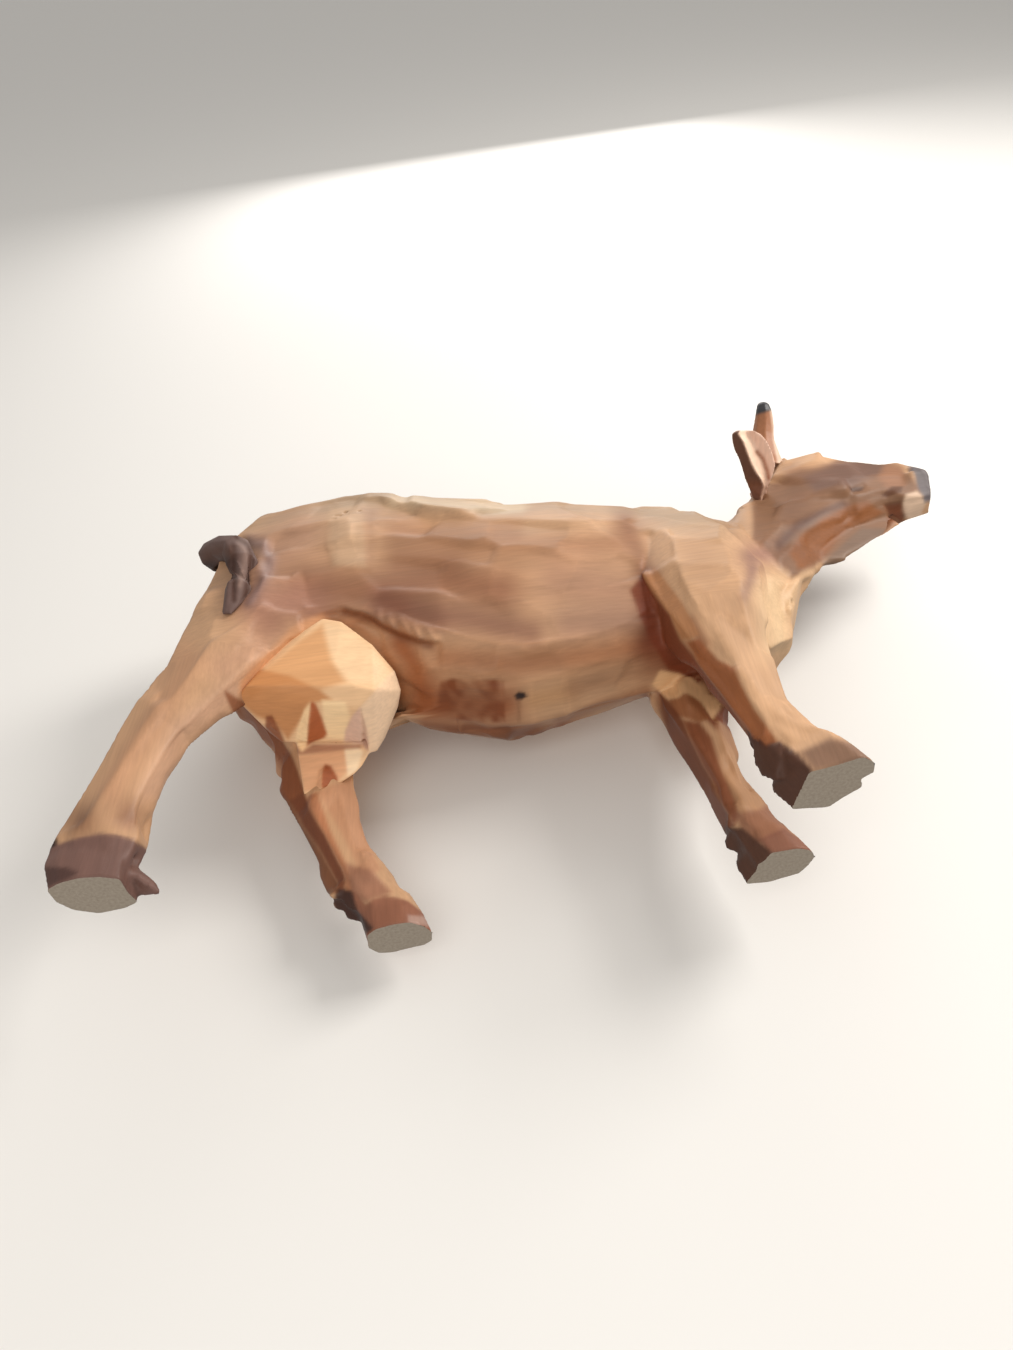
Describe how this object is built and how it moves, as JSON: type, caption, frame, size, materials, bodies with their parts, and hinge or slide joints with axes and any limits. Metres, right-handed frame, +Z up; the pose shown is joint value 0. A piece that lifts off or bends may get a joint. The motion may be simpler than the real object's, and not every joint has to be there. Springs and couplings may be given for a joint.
{
  "type": "carved wooden cow figurine",
  "caption": "Hand-carved, stained wooden cow standing mid-step, with glued-on legs, udder, horns, ears and tail, and knife facets all over.",
  "frame": {"origin": "centre of the bounding box at its base, on the four soles; the cow stands on Z = 0", "axes": "+X forward, from tail to nose; +Y to the cow's left; +Z up"},
  "size_m": [0.2188, 0.0514, 0.1487],
  "materials": {
    "body_wood": "knife-cut, stained in soft patches, satin",
    "head_wood": "knife-cut, warm stain, painted nose, satin",
    "udder_wood": "knife-cut, pale clear finish, satin",
    "leg_wood": "knife-cut, brown stain, dark hooves, bare soles, satin",
    "horn_paint": "dark stain, satin",
    "ear_wood": "knife-cut, warm stain, satin",
    "tail_wood": "gouge-cut, mauve-brown stain, satin"
  },
  "bodies": {
    "root": {"body": "body_wood", "head": "head_wood", "udder": "udder_wood", "right_foreleg": "leg_wood", "left_foreleg": "leg_wood", "right_hind_leg": "leg_wood", "left_hind_leg": "leg_wood", "right_horn": "horn_paint", "left_horn": "horn_paint", "right_ear": "ear_wood", "left_ear": "ear_wood", "tail": "tail_wood"}
  },
  "joints": []
}
